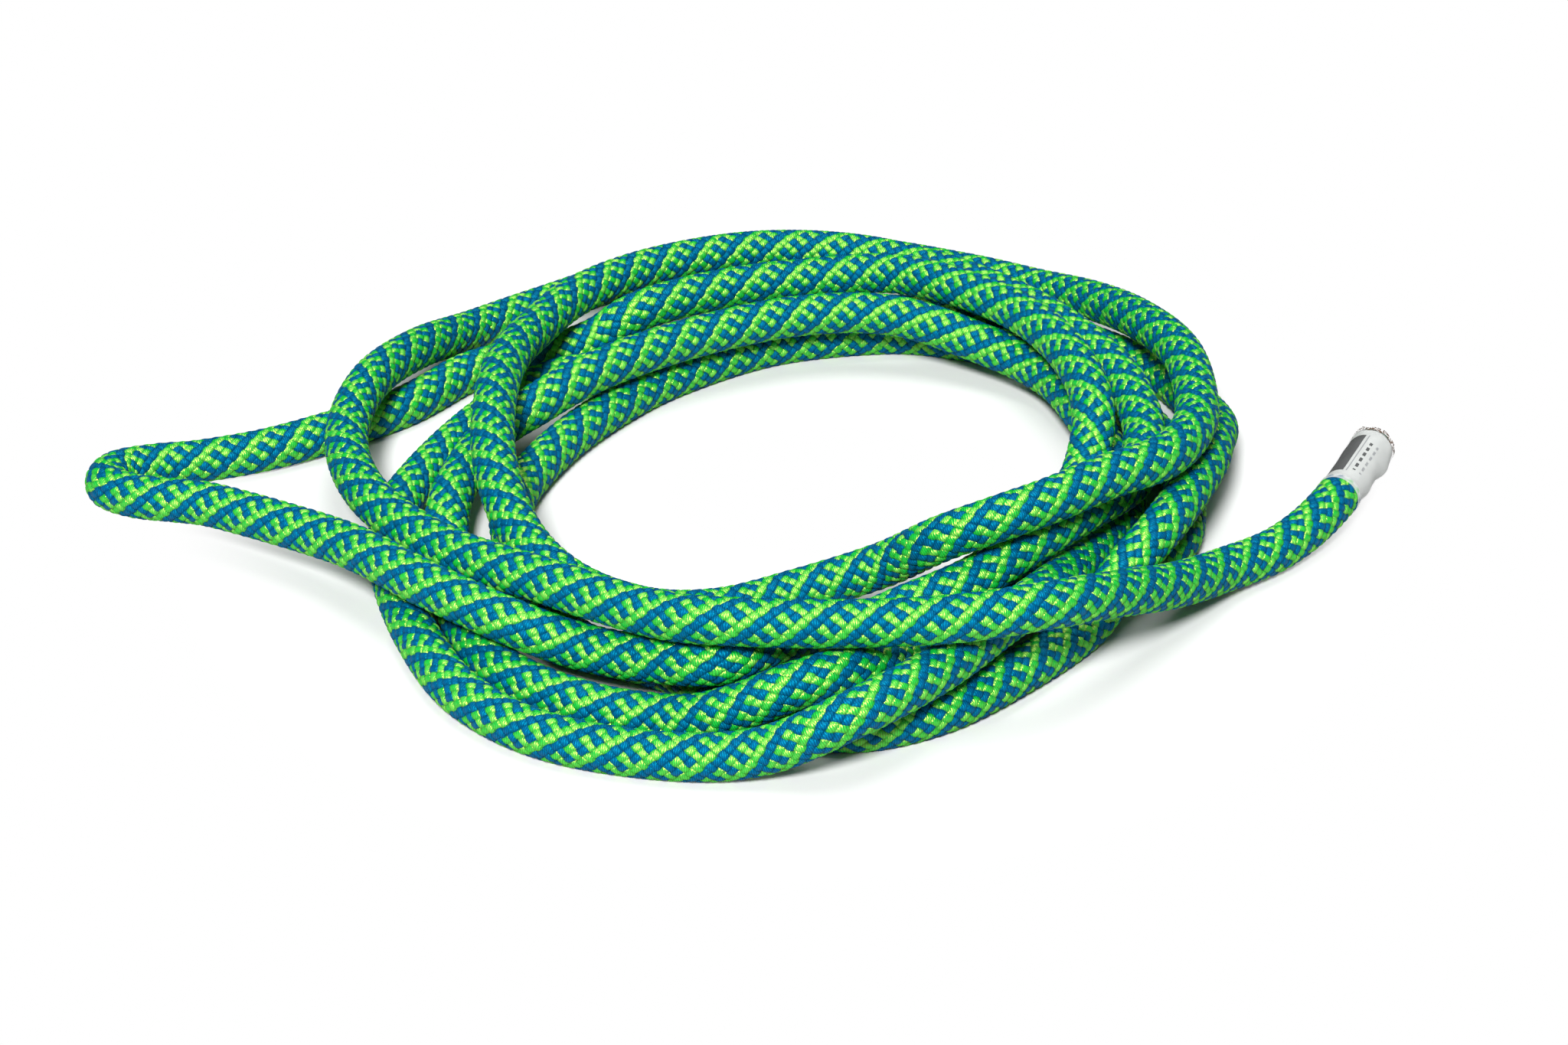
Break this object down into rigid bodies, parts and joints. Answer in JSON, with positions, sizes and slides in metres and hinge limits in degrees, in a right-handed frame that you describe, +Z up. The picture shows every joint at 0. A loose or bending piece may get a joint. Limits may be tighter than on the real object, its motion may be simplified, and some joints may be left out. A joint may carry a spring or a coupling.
{
  "type": "dynamic climbing rope",
  "caption": "Braided dynamic climbing rope laid down in loose, overlapping turns beside one long bight, with its labelled end under a clear sleeve lying free at the side.",
  "frame": {"origin": "middle of the coil's footprint, on the surface it lies on", "axes": "+X to the labelled end's side along the coil's longer way, +Y away from the viewer, +Z up"},
  "size_m": [0.2995, 0.2369, 0.0328],
  "materials": {
    "sheath": "glossy nylon yarn, braided in bright green and blue",
    "core": "undyed twisted nylon",
    "label": "printed film, matt",
    "clear_sleeve": "clear heat-shrink film, glossy",
    "tip": "melted nylon, uneven and slightly glossy"
  },
  "bodies": {
    "root": {"sheath": "sheath", "core_middle": "core", "core_strand_1": "core", "core_strand_2": "core", "core_strand_3": "core", "core_strand_4": "core", "core_strand_5": "core", "core_strand_6": "core", "label": "label", "clear_sleeve": "clear_sleeve", "labelled_tip": "tip", "plain_tip": "tip"}
  },
  "joints": []
}
